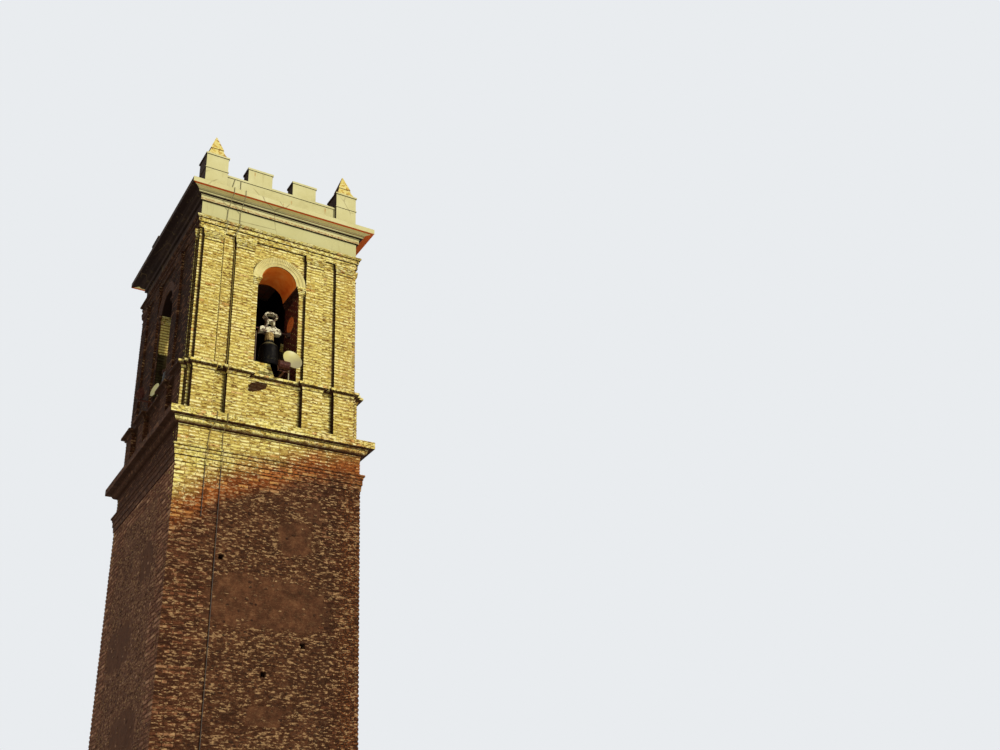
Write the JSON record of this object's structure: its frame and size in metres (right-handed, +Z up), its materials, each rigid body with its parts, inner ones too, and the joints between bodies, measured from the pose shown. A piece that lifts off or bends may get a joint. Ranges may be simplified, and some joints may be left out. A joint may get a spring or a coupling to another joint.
{
  "type": "bell tower",
  "caption": "Tall rectangular brick bell tower with a pilastered belfry, arched openings, swinging bells on yokes and a merloned parapet with corner pinnacles.",
  "frame": {"origin": "centre of the plan at ground level", "axes": "+Z up the tower, the front with the main bell looks along -Y, the face with the second bell looks along -X"},
  "size_m": [6.088, 6.788, 24.945],
  "materials": {
    "arch_brick": "orange brick and smooth lime, matt",
    "bare_iron": "weathered iron",
    "belfry_brick": "thin ochre brick, matt",
    "bell_bronze": "dark patinated bronze",
    "cable_sheath": "matt sheath",
    "dish_enamel": "pale satin enamel",
    "floor_tile": "worn floor tile",
    "lamp_housing": "dull red-brown paint",
    "lime_render": "smooth lime render, streaked",
    "pinnacle_brick": "mottled tile and lime, matt",
    "shaft_brick": "rough hand-made brick in wide lime joints",
    "yoke_iron": "dull paint on cast iron"
  },
  "bodies": {
    "tower": {"floors": "floor_tile", "shaft_end_walls": "shaft_brick", "shaft_side_walls": "shaft_brick", "neck_moulding_ends": "shaft_brick", "neck_moulding_sides": "shaft_brick", "low_frieze_ends": "shaft_brick", "low_frieze_sides": "shaft_brick", "mid_cornice_ends": "belfry_brick", "mid_cornice_sides": "belfry_brick", "base_walls_ends": "belfry_brick", "base_walls_sides": "belfry_brick", "pedestals": "belfry_brick", "string_ends": "belfry_brick", "string_sides": "belfry_brick", "end_piers": "belfry_brick", "side_piers": "belfry_brick", "pilasters": "belfry_brick", "capitals": "belfry_brick", "imposts": "belfry_brick", "arches": "arch_brick", "archivolts": "belfry_brick", "front_upstand": "belfry_brick", "architrave_ends": "belfry_brick", "architrave_sides": "belfry_brick", "frieze_ends": "lime_render", "frieze_sides": "lime_render", "cornice_ends": "lime_render", "cornice_sides": "lime_render", "parapet": "lime_render", "copings": "lime_render", "corner_blocks": "lime_render", "pinnacles": "pinnacle_brick", "bearings": "bare_iron", "lamps": "lamp_housing", "dishes": "dish_enamel", "jamb_fittings": "bare_iron", "wall_cables": "cable_sheath"},
    "front_bell_body": {"front_bell": "bell_bronze", "front_yoke": "yoke_iron", "front_axle": "bare_iron", "front_clapper": "bare_iron"},
    "left_bell_body": {"left_bell": "bell_bronze", "left_yoke": "yoke_iron", "left_axle": "bare_iron", "left_clapper": "bare_iron"}
  },
  "joints": [
    {"name": "front_bell_swing", "type": "hinge", "parent": "tower", "child": "front_bell_body", "pos_m": [0, -2.25, 18.6], "axis": [1, 0, 0], "continuous": true},
    {"name": "left_bell_swing", "type": "hinge", "parent": "tower", "child": "left_bell_body", "pos_m": [-2.25, 0, 18.05], "axis": [0, 1, 0], "continuous": true}
  ]
}
